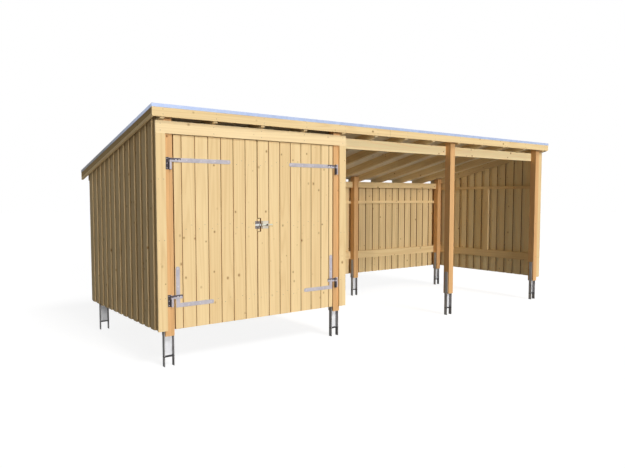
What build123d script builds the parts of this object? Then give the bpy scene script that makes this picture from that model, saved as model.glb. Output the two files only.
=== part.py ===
from build123d import *
import os
from math import cos, hypot, radians, tan

# Open-front garden shed. Four front posts and four rear posts stand on steel ground anchors and
# carry a mono-pitch roof that falls to the back. The left bay is a closed room with a double
# door, the other bays are an open store behind the front posts.
# Millimetres. X runs along the front, Y to the back, Z up. The origin lies on the ground line,
# under the middle of the roof.

# Posts and ground anchors
post_width = 90
bay_length = 2050
bay_count = 3
frame_depth = 2070
post_foot_height = 300
anchor_grip_length = 300
anchor_strap_width = 48
anchor_steel = 6
anchor_web_steel = 3
anchor_crossbar_drop = 200

# Roof
roof_slope = 12.7
roof_front_height = 2481
front_overhang = 76
rear_overhang = 167
side_overhang = 130
capping_steel = 2
capping_leg = 31
capping_flange = 60
capping_joint = 0.3
roofing_thickness = 5
deck_thickness = 20
fascia_height = 116
fascia_thickness = 22
rafter_thickness = 45
rafter_height = 95
rafters_between_posts = 3

# Beams
beam_thickness = 45
front_beam_height = 120
rear_beam_height = 95
front_notch_depth = 5
birdsmouth_depth = 4

# Walls
rail_thickness = 45
bottom_rail_height = 120
mid_rail_height = 45
rail_above_anchor = 10
side_mid_rail_below_rafters = 55
rear_mid_rail_below_rafters = 300
stud_width = 95
stud_forward = 46
board_thickness = 16
board_width = 98
board_gap = 59.5
rear_cladding_margin = 52
cladding_above_foot = 57
end_board_thickness = 16

# Boards around the double door
trim_thickness = 22
trim_width = 95
trim_overlap_on_post = 17
header_height = 116
door_bottom_above_foot = 59
door_top_gap = 6

# Door leaves
leaf_side_gap = 10
leaf_meeting_gap = 6
leaf_proud = 1
leaf_board_thickness = 18
left_leaf_share = 0.4755
leaf_board_width = 140
board_joint = 0.3
latch_tab_width = 38.5
latch_tab_height = 131
ledge_thickness = 28
ledge_width = 95
ledge_inset_hinge_side = 30
ledge_inset_meeting_side = 40
brace_width = 70
brace_clearance = 0.5

# Hinges
hinge_steel = 4
strap_width = 40
strap_inset = 10
top_strap_length = 645
low_strap_length = 412
low_strap_rise = 395
top_hinge_below_door_top = 236
low_hinge_above_foot = 372
low_strap_above_foot = 269
hinge_neck_length = 110
hinge_neck_height = 36
hinge_eye_radius = 13
hinge_pin_radius = 8
hinge_clearance = 0.3
hinge_pivot_from_post_edge = 24
gudgeon_width = 42
gudgeon_above_eye_middle = 25
gudgeon_below_eye_middle = 90
gudgeon_steel = 4

# Slide bolt latch
latch_plate_steel = 3
latch_plate_height = 80
latch_plate_length = 90
latch_keeper_length = 56
latch_edge_margin = 7
latch_bolt_radius = 6
latch_bolt_tail = 4
latch_bolt_clearance = 0.4
latch_bolt_stand_off = 4
latch_guide_width = 12
latch_guide_wall = 4
latch_above_leaf_middle = 51
latch_travel = 40
latch_knob_length = 16
latch_knob_radius = 5
latch_knob_gap = 3

# General clearance where a piece stops short of its neighbour
fitting_gap = 3

# Places worked out from the sizes above
post_lines = [bay_length * (i - bay_count / 2) for i in range(bay_count + 1)]
half_post = post_width / 2
roof_depth = front_overhang + frame_depth + rear_overhang
roof_front = -roof_depth / 2
roof_rear = roof_depth / 2
front_face = roof_front + front_overhang
rear_face = front_face + frame_depth
roof_left = post_lines[0] - half_post - side_overhang
roof_right = post_lines[-1] + half_post + side_overhang
foot = post_foot_height

roofing_depth = capping_steel
deck_depth = roofing_depth + roofing_thickness
rafter_depth = deck_depth + deck_thickness
rafter_bottom_depth = rafter_depth + rafter_height

left_wall_inner = post_lines[0] - half_post
left_cladding_inner = left_wall_inner - rail_thickness
right_wall_inner = post_lines[-1] + half_post
right_cladding_inner = right_wall_inner + rail_thickness
rear_cladding_inner = rear_face + rail_thickness
cladding_thickness = 2 * board_thickness
cladding_rear = rear_cladding_inner + cladding_thickness
partition_wall_inner = post_lines[1] + half_post
partition_cladding_inner = partition_wall_inner + rail_thickness
cladding_bottom = foot + cladding_above_foot
rail_bottom = foot + anchor_grip_length + rail_above_anchor


def roof_z(y, depth=0):
    """Height at y of the plane that lies depth below the roof's top, square to its slope."""
    fall = tan(radians(roof_slope)) * (y - roof_front)
    return roof_front_height - fall - depth / cos(radians(roof_slope))


def block(x0, x1, y0, y1, z0, z1):
    """A square-cut piece between two corners."""
    size = Box(x1 - x0, y1 - y0, z1 - z0)
    return Pos((x0 + x1) / 2, (y0 + y1) / 2, (z0 + z1) / 2) * size


def along_x(outline, x0, x1):
    """A side outline of (y, z) points, run from x0 to x1."""
    face = make_face(Polyline(*outline, close=True))
    return extrude(Plane.YZ.offset(x0) * face, amount=x1 - x0)


def along_z(outline, z0, z1):
    """A plan outline of (x, y) points, run from z0 to z1."""
    face = make_face(Polyline(*outline, close=True))
    return extrude(Plane.XY.offset(z0) * face, amount=z1 - z0)


def roof_layer(x0, x1, y0, y1, top_depth, bottom_depth):
    """A layer of the sloping roof with plumb ends."""
    outline = [
        (y0, roof_z(y0, bottom_depth)),
        (y1, roof_z(y1, bottom_depth)),
        (y1, roof_z(y1, top_depth)),
        (y0, roof_z(y0, top_depth)),
    ]
    return along_x(outline, x0, x1)


def save(name, *solids):
    """Write one sub-part, of one solid or of several that don't touch."""
    shape = solids[0] if len(solids) == 1 else Compound(children=list(solids))
    export_step(shape, os.path.join("parts", name + ".step"))


# Beams. The front beam lies in notches in the back of the front posts, the rear beam is let in
# flush with the back of the rear posts. The rafters sit on both with shallow seat cuts.
front_beam_front = front_face + post_width - front_notch_depth
rear_beam_front = rear_face - beam_thickness


def beam(front, height):
    """A level beam whose top is a seat cut above the rafters' underside at its front face."""
    top = roof_z(front, rafter_bottom_depth) + birdsmouth_depth
    return block(left_cladding_inner, right_cladding_inner, front, front + beam_thickness, top - height, top)


front_beam = beam(front_beam_front, front_beam_height)
rear_beam = beam(rear_beam_front, rear_beam_height)


# Posts, with the housings for the beams cut out
def post(x, y_front, y_back, beam_piece):
    """One post, cut off level below the roof deck."""
    top = roof_z(y_back, rafter_depth) - fitting_gap
    return block(x - half_post, x + half_post, y_front, y_back, foot, top) - beam_piece


front_posts = [post(x, front_face, front_face + post_width, front_beam) for x in post_lines]
rear_posts = [post(x, rear_face - post_width, rear_face, rear_beam) for x in post_lines]


# Ground anchors: two straps grip the post's sides, below it a crossbar joins them, and a thin web
# along their back edges
def anchor(x, y):
    """One anchor, under the post whose middle is at x, y."""
    y0 = y - anchor_strap_width / 2
    y1 = y + anchor_strap_width / 2
    inner = half_post
    outer = half_post + anchor_steel
    top = foot + anchor_grip_length
    crossbar_top = foot - anchor_crossbar_drop
    shape = block(x - outer, x - inner, y0, y1, 0, top)
    shape += block(x + inner, x + outer, y0, y1, 0, top)
    shape += block(x - inner, x + inner, y0, y1, foot - anchor_steel, foot)
    shape += block(x - inner, x + inner, y1 - anchor_web_steel, y1, crossbar_top, foot - anchor_steel)
    shape += block(x - inner, x + inner, y0, y1, crossbar_top - anchor_steel, crossbar_top)
    return shape


front_anchors = [anchor(x, front_face + half_post) for x in post_lines]
rear_anchors = [anchor(x, rear_face - half_post) for x in post_lines]


# Rafters. One stands on the outer side of each end post and one beside each post between them,
# with more spaced evenly in every bay.
def rafter_lines():
    """The rafters' centre lines from left to right."""
    beside = [left_wall_inner - rafter_thickness / 2]
    beside += [x + half_post + rafter_thickness / 2 for x in post_lines[1:]]
    lines = [beside[0]]
    for left, right in zip(beside, beside[1:]):
        step = (right - left) / (rafters_between_posts + 1)
        lines += [left + step * (i + 1) for i in range(rafters_between_posts + 1)]
    return lines


fascia_front = roof_front + capping_steel
rafter_front = fascia_front + fascia_thickness


def rafter(x):
    """One rafter with plumb ends and a seat cut over each beam."""
    left = x - rafter_thickness / 2
    right = x + rafter_thickness / 2
    plain = roof_layer(left, right, rafter_front, roof_rear, rafter_depth, rafter_bottom_depth)
    return plain - front_beam - rear_beam


rafters = [rafter(x) for x in rafter_lines()]

# Roof covering: boards on the rafters, felt over them and over the edge boards
barge_left = roof_left + capping_steel
barge_right = roof_right - capping_steel
deck_left = barge_left + fascia_thickness
deck_right = barge_right - fascia_thickness
roof_deck = roof_layer(deck_left, deck_right, rafter_front, roof_rear, deck_depth, rafter_depth)
roofing = roof_layer(barge_left, barge_right, fascia_front, roof_rear, roofing_depth, deck_depth)

# Edge boards
fascia_bottom = roof_front_height - fascia_height
fascia_outline = [
    (fascia_front, fascia_bottom),
    (rafter_front, fascia_bottom),
    (rafter_front, roof_z(rafter_front, deck_depth)),
    (fascia_front, roof_z(fascia_front, deck_depth)),
]
front_fascia = along_x(fascia_outline, barge_left, barge_right)
barge_bottom_depth = fascia_height * cos(radians(roof_slope))


def barge_board(x0, x1):
    """A sloping edge board that butts against the back of the front fascia."""
    return roof_layer(x0, x1, rafter_front, roof_rear, deck_depth, barge_bottom_depth)


barge_boards = [barge_board(barge_left, deck_left), barge_board(deck_right, barge_right)]

# Metal capping: three folded strips, over the front edge and both side edges. The front one folds
# round both corners.
flange_left = roof_left + capping_flange
flange_right = roof_right - capping_flange
flange_rear = roof_front + capping_flange
side_strip_front = flange_rear + capping_joint
front_strip = roof_layer(roof_left, roof_right, roof_front, fascia_front, 0, capping_leg)
front_strip += roof_layer(roof_left, roof_right, roof_front, flange_rear, 0, roofing_depth)
front_strip += roof_layer(roof_left, barge_left, roof_front, flange_rear, 0, capping_leg)
front_strip += roof_layer(barge_right, roof_right, roof_front, flange_rear, 0, capping_leg)
left_strip = roof_layer(roof_left, barge_left, side_strip_front, roof_rear, 0, capping_leg)
left_strip += roof_layer(roof_left, flange_left, side_strip_front, roof_rear, 0, roofing_depth)
right_strip = roof_layer(barge_right, roof_right, side_strip_front, roof_rear, 0, capping_leg)
right_strip += roof_layer(flange_right, roof_right, side_strip_front, roof_rear, 0, roofing_depth)
edge_capping = [front_strip, left_strip, right_strip]


# Wall cladding: an inner layer of boards with gaps, and an outer layer that covers the gaps
def cladding_starts(length, end_margin=None):
    """Where the outer boards start: centred on the wall, or set out from its far end."""
    pitch = board_width + board_gap
    if end_margin is None:
        count = int((length - board_width - 2 * board_gap) // pitch) + 1
        margin = (length - board_width - (count - 1) * pitch) / 2
    else:
        count = int((length - board_width - end_margin) // pitch) + 1
        margin = length - end_margin - board_width - (count - 1) * pitch
    return [margin + i * pitch for i in range(count)]


def cladding_outline(length, end_margin=None):
    """Plan outline of board-on-board cladding, as (along, outward) points from the inner face."""
    overlap = (board_width - board_gap) / 2
    starts = cladding_starts(length, end_margin)
    outer = []
    inner = []
    for start in starts:
        end = start + board_width
        outer += [(start, board_thickness), (start, cladding_thickness)]
        outer += [(end, cladding_thickness), (end, board_thickness)]
        inner += [(start + overlap, 0), (start + overlap, board_thickness)]
        inner += [(end - overlap, board_thickness), (end - overlap, 0)]
    return [(0, 0), (0, board_thickness)] + outer + [(length, board_thickness), (length, 0)] + inner[::-1]


def side_cladding(x_inner, outward, y0, y1):
    """Cladding of a side wall, up to the underside of the roof deck."""
    plan = [(x_inner + outward * out, y0 + along) for along, out in cladding_outline(y1 - y0)]
    boards = along_z(plan, cladding_bottom, roof_front_height)
    x_outer = x_inner + outward * cladding_thickness
    slope_outline = [
        (y0, cladding_bottom),
        (y1, cladding_bottom),
        (y1, roof_z(y1, rafter_depth) - fitting_gap),
        (y0, roof_z(y0, rafter_depth) - fitting_gap),
    ]
    return boards & along_x(slope_outline, min(x_inner, x_outer), max(x_inner, x_outer))


def rear_cladding():
    """Cladding of the rear wall, up to the underside of the rafters."""
    length = right_cladding_inner - left_cladding_inner
    outline = cladding_outline(length, rear_cladding_margin)
    plan = [(left_cladding_inner + along, rear_cladding_inner + out) for along, out in outline]
    return along_z(plan, cladding_bottom, roof_z(cladding_rear, rafter_bottom_depth) - fitting_gap)


def around_beam(piece):
    """Room for a beam that passes through a wall."""
    gap = fitting_gap
    low = piece.bounding_box().min
    high = piece.bounding_box().max
    return block(low.X, high.X, low.Y - gap, high.Y + gap, low.Z - gap, high.Z + gap)


end_board_front = front_face
end_board_back = front_face + end_board_thickness
left_wall_cladding = side_cladding(left_cladding_inner, -1, front_face, cladding_rear)
right_wall_cladding = side_cladding(right_cladding_inner, 1, end_board_back, cladding_rear)
rear_wall_cladding = rear_cladding()
partition_cladding = side_cladding(partition_cladding_inner, 1, front_face, rear_face)
partition_cladding = partition_cladding - around_beam(front_beam) - around_beam(rear_beam)


# Rails on the outer side of the posts, and the studs between them
def rail(x0, x1, y0, y1, bottom, height):
    """A level rail."""
    return block(x0, x1, y0, y1, bottom, bottom + height)


rafters_at_rear_wall = roof_z(rear_face, rafter_bottom_depth)
side_mid_rail_bottom = rafters_at_rear_wall - side_mid_rail_below_rafters - mid_rail_height
rear_mid_rail_bottom = rafters_at_rear_wall - rear_mid_rail_below_rafters - mid_rail_height
stud_middle = (front_face + rear_face) / 2 - stud_forward
stud_front = stud_middle - stud_width / 2
stud_back = stud_middle + stud_width / 2
stud_foot = rail_bottom + bottom_rail_height
side_wall_places = [
    (left_cladding_inner, left_wall_inner, front_face),
    (partition_wall_inner, partition_cladding_inner, front_face),
    (right_wall_inner, right_cladding_inner, end_board_back),
]
side_wall_rails = []
wall_studs = []
for x0, x1, y0 in side_wall_places:
    side_wall_rails.append(rail(x0, x1, y0, rear_face, rail_bottom, bottom_rail_height))
    side_wall_rails.append(rail(x0, x1, y0, rear_beam_front, side_mid_rail_bottom, mid_rail_height))
    wall_studs.append(block(x0, x1, stud_front, stud_back, stud_foot, side_mid_rail_bottom))


def rear_rail(bottom, height):
    """A rail along the whole rear wall."""
    return rail(left_cladding_inner, right_cladding_inner, rear_face, rear_cladding_inner, bottom, height)


rear_wall_rails = [
    rear_rail(rail_bottom, bottom_rail_height),
    rear_rail(rear_mid_rail_bottom, mid_rail_height),
]

# Boards that finish the front: a header and two side trims around the door, an end board on the
# right wall
header_top = roof_z(front_face, rafter_bottom_depth) - fitting_gap
header_bottom = header_top - header_height
door_top = header_bottom - door_top_gap
door_bottom = foot + door_bottom_above_foot
trim_front = front_face - trim_thickness
trim_left = left_wall_inner + trim_overlap_on_post - trim_width
trim_right = partition_wall_inner - trim_overlap_on_post + trim_width
door_header = block(trim_left, trim_right, trim_front, front_face, header_bottom, header_top)
door_side_trims = [
    block(trim_left, trim_left + trim_width, trim_front, front_face, cladding_bottom, header_bottom),
    block(trim_right - trim_width, trim_right, trim_front, front_face, cladding_bottom, header_bottom),
]
end_board_right = right_cladding_inner + cladding_thickness
end_board_top = roof_z(end_board_back, rafter_bottom_depth) - fitting_gap
right_wall_end_board = block(
    right_wall_inner, end_board_right, end_board_front, end_board_back, cladding_bottom, end_board_top
)

# Door leaves of upright boards. The meeting gap is left of the middle. At the latch a block on
# the left leaf takes the place of a piece of the right leaf's first board, so that the bolt and
# its keeper sit on flat wood on both sides of the gap.
opening_left = post_lines[0] + half_post
opening_right = post_lines[1] - half_post
leaf_front = front_face - leaf_proud
leaf_back = leaf_front + leaf_board_thickness
ledge_back = leaf_back + ledge_thickness
left_leaf_left = opening_left + leaf_side_gap
right_leaf_right = opening_right - leaf_side_gap
left_leaf_right = left_leaf_left + left_leaf_share * (right_leaf_right - left_leaf_left)
right_leaf_left = left_leaf_right + leaf_meeting_gap
latch_height = (door_bottom + door_top) / 2 + latch_above_leaf_middle
tab_bottom = latch_height - latch_tab_height / 2
tab_top = latch_height + latch_tab_height / 2
tab_right = left_leaf_right + latch_tab_width
cut_bottom = tab_bottom - leaf_meeting_gap
cut_top = tab_top + leaf_meeting_gap
cut_right = tab_right + leaf_meeting_gap
first_board_right = right_leaf_left + leaf_board_width
first_board_end = first_board_right - board_joint


def leaf_board(x0, x1, z0, z1):
    """A piece of a leaf's boarding."""
    return block(x0, x1, leaf_front, leaf_back, z0, z1)


left_door_boards = [
    leaf_board(left_leaf_left, left_leaf_right, door_bottom, door_top),
    leaf_board(left_leaf_right + board_joint, tab_right, tab_bottom, tab_top),
]
right_door_boards = [
    leaf_board(first_board_right, right_leaf_right, door_bottom, door_top),
    leaf_board(right_leaf_left, first_board_end, door_bottom, cut_bottom),
    leaf_board(cut_right, first_board_end, cut_bottom + board_joint, cut_top - board_joint),
    leaf_board(right_leaf_left, first_board_end, cut_top, door_top),
]

# Ledges behind the boards, one behind each hinge strap and one behind the latch
top_ledge_middle = door_top - top_hinge_below_door_top
low_ledge_middle = foot + low_strap_above_foot + strap_width / 2
ledge_middles = [low_ledge_middle, latch_height, top_ledge_middle]
left_ledge_ends = (left_leaf_left + ledge_inset_hinge_side, left_leaf_right - ledge_inset_meeting_side)
right_ledge_ends = (tab_right + ledge_inset_meeting_side, right_leaf_right - ledge_inset_hinge_side)


def ledge(x0, x1, middle):
    """A level board across the back of a leaf."""
    return block(x0, x1, leaf_back, ledge_back, middle - ledge_width / 2, middle + ledge_width / 2)


left_ledge_reach = [left_ledge_ends[1], tab_right - latch_edge_margin, left_ledge_ends[1]]
left_door_ledges = [ledge(left_ledge_ends[0], x1, z) for x1, z in zip(left_ledge_reach, ledge_middles)]
right_door_ledges = [ledge(right_ledge_ends[0], right_ledge_ends[1], z) for z in ledge_middles]


def brace(x_low, x_high, low_middle, high_middle):
    """A slanting board between two ledges, from the hinge side up to the meeting side."""
    z_low = low_middle + ledge_width / 2 + brace_clearance
    z_high = high_middle - ledge_width / 2 - brace_clearance
    run = x_high - x_low
    length = hypot(run, z_high - z_low)
    level_width = brace_width * length / (z_high - z_low)
    shift = level_width if run > 0 else -level_width
    outline = [(x_low, z_low), (x_low + shift, z_low), (x_high, z_high), (x_high - shift, z_high)]
    face = make_face(Polyline(*outline, close=True))
    plane = Plane(origin=(0, leaf_back, 0), x_dir=(1, 0, 0), z_dir=(0, -1, 0))
    return extrude(plane * face, amount=-ledge_thickness)


def braces(hinge_side, meeting_side):
    """Two braces of a leaf."""
    low, middle, high = ledge_middles
    return [brace(hinge_side, meeting_side, low, middle), brace(hinge_side, meeting_side, middle, high)]


left_door_braces = braces(*left_ledge_ends)
right_door_braces = braces(*right_ledge_ends[::-1])

# Strap hinges. A neck plate lies on each strap and ends in an eye that drops on a pin. The pin
# stands in a barrel, whose plate is fixed on the post beside it.
left_pivot = opening_left - hinge_pivot_from_post_edge
right_pivot = opening_right + hinge_pivot_from_post_edge
strap_front = leaf_front - hinge_steel
pivot_y = strap_front - hinge_eye_radius
top_hinge = door_top - top_hinge_below_door_top
low_hinge = foot + low_hinge_above_foot
low_strap_bottom = foot + low_strap_above_foot
eye_bore_radius = hinge_pin_radius + hinge_clearance


def upright_disc(x, z, radius, height):
    """A round bar that stands on the pivot line, from z up."""
    return extrude(Plane((x, pivot_y, z)) * Circle(radius), amount=height)


def flat_bar(x0, x1, z0, z1, back):
    """A flat bar of hinge steel on the plane at back."""
    return block(min(x0, x1), max(x0, x1), back - hinge_steel, back, z0, z1)


def bar_end(x, z):
    """The round end of a strap, centred at x, z."""
    return extrude(Plane((x, leaf_front, z), z_dir=(0, -1, 0)) * Circle(strap_width / 2), amount=hinge_steel)


def neck(pivot, middle, inward):
    """The neck plate with its eye, lying on a strap."""
    low = middle - hinge_neck_height / 2
    high = middle + hinge_neck_height / 2
    plate = flat_bar(pivot, pivot + inward * hinge_neck_length, low, high, strap_front)
    eye = upright_disc(pivot, low, hinge_eye_radius, hinge_neck_height)
    bore = upright_disc(pivot, low, eye_bore_radius, hinge_neck_height)
    return plate + eye - bore


def top_strap(pivot, leaf_edge, inward):
    """The straight upper strap, from near the leaf's edge inward."""
    low = top_hinge - strap_width / 2
    start = leaf_edge + inward * strap_inset
    end = pivot + inward * (top_strap_length - strap_width / 2)
    bar = flat_bar(start, end, low, low + strap_width, leaf_front)
    return bar + bar_end(end, top_hinge) + neck(pivot, top_hinge, inward)


def low_strap(pivot, leaf_edge, inward):
    """The lower strap: an angle of two arms on the leaf's corner, with its eye beside the bend."""
    half = strap_width / 2
    upright_end = low_strap_bottom + low_strap_rise - half
    start = leaf_edge + inward * strap_inset
    level_end = leaf_edge + inward * (low_strap_length - half)
    arm_inner = start + inward * strap_width
    bar = flat_bar(start, arm_inner, low_strap_bottom, upright_end, leaf_front)
    bar += bar_end(start + inward * half, upright_end)
    bar += flat_bar(start, level_end, low_strap_bottom, low_strap_bottom + strap_width, leaf_front)
    bar += bar_end(level_end, low_strap_bottom + half)
    return bar + neck(pivot, low_hinge, inward)


left_door_hinges = [
    top_strap(left_pivot, left_leaf_left, 1),
    low_strap(left_pivot, left_leaf_left, 1),
]
right_door_hinges = [
    top_strap(right_pivot, right_leaf_right, -1),
    low_strap(right_pivot, right_leaf_right, -1),
]


def gudgeon(pivot, middle, outward):
    """Plate on the post, with the barrel that the eye rests on and the pin inside the eye."""
    barrel_top = middle - hinge_neck_height / 2 - hinge_clearance
    barrel_bottom = middle - gudgeon_below_eye_middle
    plate_top = middle + gudgeon_above_eye_middle
    plate_front = front_face - gudgeon_steel
    side = pivot + outward * hinge_eye_radius
    edge = pivot + outward * gudgeon_width
    plate = block(min(pivot, edge), max(pivot, edge), plate_front, front_face, barrel_bottom, plate_top)
    roll = block(min(pivot, side), max(pivot, side), pivot_y, plate_front, barrel_bottom, barrel_top)
    barrel = upright_disc(pivot, barrel_bottom, hinge_eye_radius, barrel_top - barrel_bottom)
    pin = upright_disc(pivot, barrel_top, hinge_pin_radius, hinge_neck_height + hinge_clearance)
    return plate + roll + barrel + pin


hinge_gudgeons = [gudgeon(left_pivot, z, -1) for z in (low_hinge, top_hinge)]
hinge_gudgeons += [gudgeon(right_pivot, z, 1) for z in (low_hinge, top_hinge)]

# Slide bolt. Two guides on the right leaf hold the bolt, which slides into a keeper on the tab
# of the left leaf. The bolt is drawn back at rest.
latch_plate_front = leaf_front - latch_plate_steel
bolt_bore_radius = latch_bolt_radius + latch_bolt_clearance
bolt_y = latch_plate_front - latch_bolt_stand_off - bolt_bore_radius
bolt_tip = cut_right + latch_edge_margin
case_left = cut_right + latch_edge_margin / 2
case_right = case_left + latch_plate_length
keeper_right = tab_right - latch_edge_margin
keeper_left = keeper_right - latch_keeper_length


def bolt_hole(x0):
    """The bolt's running hole through a guide."""
    start = Plane((x0, bolt_y, latch_height), z_dir=(1, 0, 0))
    return extrude(start * Circle(bolt_bore_radius), amount=latch_guide_width)


def guide(x0):
    """A block on a latch plate with the bolt's hole through it."""
    half = bolt_bore_radius + latch_guide_wall
    low = latch_height - half
    high = latch_height + half
    body = block(x0, x0 + latch_guide_width, bolt_y - half, latch_plate_front, low, high)
    return body - bolt_hole(x0)


def latch_plate(x0, x1):
    """A flat plate on the boards."""
    half = latch_plate_height / 2
    return block(x0, x1, latch_plate_front, leaf_front, latch_height - half, latch_height + half)


latch_case = latch_plate(case_left, case_right)
latch_case += guide(case_left)
latch_case += guide(case_right - latch_guide_width)
latch_keeper = latch_plate(keeper_left, keeper_right) + guide(keeper_right - latch_guide_width)
bolt_rod = Plane((bolt_tip, bolt_y, latch_height), z_dir=(1, 0, 0)) * Circle(latch_bolt_radius)
latch_bolt = extrude(bolt_rod, amount=case_right + latch_travel + latch_bolt_tail - bolt_tip)
knob_x = case_left + latch_guide_width + latch_travel + latch_knob_radius + latch_knob_gap
knob_face = Plane((knob_x, bolt_y, latch_height), z_dir=(0, -1, 0)) * Circle(latch_knob_radius)
latch_bolt += extrude(knob_face, amount=latch_bolt_radius + latch_knob_length)

# Write every sub-part
os.makedirs("parts", exist_ok=True)
for number in range(bay_count + 1):
    save(f"front_post_{number + 1}", front_posts[number])
    save(f"rear_post_{number + 1}", rear_posts[number])
    save(f"front_anchor_{number + 1}", front_anchors[number])
    save(f"rear_anchor_{number + 1}", rear_anchors[number])
save("front_beam", front_beam)
save("rear_beam", rear_beam)
save("rafters", *rafters)
save("roof_deck", roof_deck)
save("roofing", roofing)
save("edge_capping", *edge_capping)
save("front_fascia", front_fascia)
save("barge_boards", *barge_boards)
save("door_header", door_header)
save("door_side_trims", *door_side_trims)
save("right_wall_end_board", right_wall_end_board)
save("left_wall_cladding", left_wall_cladding)
save("right_wall_cladding", right_wall_cladding)
save("rear_wall_cladding", rear_wall_cladding)
save("partition_cladding", partition_cladding)
save("side_wall_rails", *side_wall_rails)
save("rear_wall_rails", *rear_wall_rails)
save("wall_studs", *wall_studs)
save("hinge_gudgeons", *hinge_gudgeons)
save("left_door_boards", *left_door_boards)
save("left_door_ledges", *left_door_ledges)
save("left_door_braces", *left_door_braces)
save("left_door_hinges", *left_door_hinges)
save("latch_keeper", latch_keeper)
save("right_door_boards", *right_door_boards)
save("right_door_ledges", *right_door_ledges)
save("right_door_braces", *right_door_braces)
save("right_door_hinges", *right_door_hinges)
save("latch_case", latch_case)
save("latch_bolt", latch_bolt)
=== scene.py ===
import math

import bmesh
import bpy
from mathutils import Matrix, Vector


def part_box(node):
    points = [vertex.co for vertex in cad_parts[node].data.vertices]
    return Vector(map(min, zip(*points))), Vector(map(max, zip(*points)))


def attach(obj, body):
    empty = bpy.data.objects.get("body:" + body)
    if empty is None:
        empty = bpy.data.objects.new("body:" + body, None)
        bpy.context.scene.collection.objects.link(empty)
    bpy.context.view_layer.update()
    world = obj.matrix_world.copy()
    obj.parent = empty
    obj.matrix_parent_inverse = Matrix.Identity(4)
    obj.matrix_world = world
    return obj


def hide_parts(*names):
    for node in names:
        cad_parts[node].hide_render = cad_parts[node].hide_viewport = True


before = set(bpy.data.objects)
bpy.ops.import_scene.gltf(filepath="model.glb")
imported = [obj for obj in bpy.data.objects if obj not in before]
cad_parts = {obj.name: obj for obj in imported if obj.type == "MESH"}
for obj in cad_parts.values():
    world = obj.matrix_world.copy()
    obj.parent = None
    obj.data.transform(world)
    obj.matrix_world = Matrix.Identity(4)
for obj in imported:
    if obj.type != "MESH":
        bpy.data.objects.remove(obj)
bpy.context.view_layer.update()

# ------------------------------------------------------------
# Camera. It stands at eye height in front of the shed's left end and looks along the front, so
# that the closed room is near and the open bays run away to the right.
camera_data = bpy.data.cameras.new("camera")
camera_data.sensor_width = 36.0
camera_data.lens = 33.107
camera_data.clip_end = 200.0
camera = bpy.data.objects.new("camera", camera_data)
camera.location = (-5.2541, -6.2331, 1.6173)
camera.rotation_euler = (math.radians(90 - 3.5697), 0.0, math.radians(-37.0025))
bpy.context.scene.collection.objects.link(camera)
bpy.context.scene.camera = camera


# ------------------------------------------------------------
# Stage. One broad soft lamp stands low in front and reaches into the open bays, another stands
# high, and a weak even light comes from all round. A pale floor keeps the shed's shadow.
def node(tree, kind, feeds=None, **settings):
    """One node. feeds gives its inputs, each a value or another node's socket."""
    made = tree.nodes.new(kind)
    for key, value in settings.items():
        setattr(made, key, value)
    for key, value in (feeds or {}).items():
        socket = made.inputs[key]
        if isinstance(value, bpy.types.NodeSocket):
            tree.links.new(value, socket)
        else:
            socket.default_value = value
    return made


def calc(tree, operation, *values, clamp=False):
    """One sum of a Math node."""
    feeds = dict(enumerate(values))
    return node(tree, "ShaderNodeMath", feeds, operation=operation, use_clamp=clamp).outputs[0]


def seen_rays(tree, outputs):
    """1 for the kinds of ray named."""
    path = node(tree, "ShaderNodeLightPath")
    total = path.outputs[outputs[0]]
    for name in outputs[1:]:
        total = calc(tree, "MAXIMUM", total, path.outputs[name])
    return total


EVEN_LIGHT = 0.11
scene = bpy.context.scene
scene.view_settings.view_transform = "Standard"
around = bpy.data.worlds.new("even_light")
around.use_nodes = True
scene.world = around
sky = around.node_tree
sky.nodes.clear()
white_seen = seen_rays(sky, ("Is Camera Ray", "Is Glossy Ray", "Is Transmission Ray"))
feeds = {"Value": white_seen, "To Min": EVEN_LIGHT, "To Max": 1.0}
strength = node(sky, "ShaderNodeMapRange", feeds).outputs[0]
backdrop = node(sky, "ShaderNodeBackground", {"Color": (1, 1, 1, 1), "Strength": strength})
node(sky, "ShaderNodeOutputWorld", {"Surface": backdrop.outputs[0]})


def lamp(name, energy, spread, height, turn):
    """A soft far lamp, height degrees above the horizon and turned about the upright."""
    data = bpy.data.lights.new(name, "SUN")
    data.energy = energy
    data.angle = math.radians(spread)
    made = bpy.data.objects.new(name, data)
    made.rotation_euler = (math.radians(90 - height), 0.0, math.radians(turn))
    scene.collection.objects.link(made)


lamp("low_lamp", energy=1.82, spread=16, height=8, turn=-7)
lamp("high_lamp", energy=1.25, spread=16, height=44, turn=6)

FLOOR_HALF, FLOOR_DROP = 60.0, 0.0005
FLOOR_GREY, FLOOR_LIFT = 0.33, 0.87
floor_mesh = bpy.data.meshes.new("floor")
corners = ((-1, -1), (1, -1), (1, 1), (-1, 1))
corners = [(x * FLOOR_HALF, y * FLOOR_HALF, -FLOOR_DROP) for x, y in corners]
floor_mesh.from_pydata(corners, [], [(0, 1, 2, 3)])
floor = bpy.data.objects.new("floor", floor_mesh)
scene.collection.objects.link(floor)
floor_paint = bpy.data.materials.new("floor_paint")
floor_paint.use_nodes = True
tree = floor_paint.node_tree
tree.nodes.clear()
matt = node(tree, "ShaderNodeBsdfDiffuse", {"Color": (FLOOR_GREY, FLOOR_GREY, FLOOR_GREY, 1)})
lift = node(tree, "ShaderNodeEmission", {"Color": (1, 1, 1, 1), "Strength": FLOOR_LIFT})
lifted = node(tree, "ShaderNodeAddShader", {0: matt.outputs[0], 1: lift.outputs[0]})
seen = seen_rays(tree, ("Is Camera Ray", "Is Glossy Ray"))
mixed = node(tree, "ShaderNodeMixShader", {0: seen, 1: matt.outputs[0], 2: lifted.outputs[0]})
node(tree, "ShaderNodeOutputMaterial", {"Surface": mixed.outputs[0]})
floor_mesh.materials.append(floor_paint)


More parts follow.
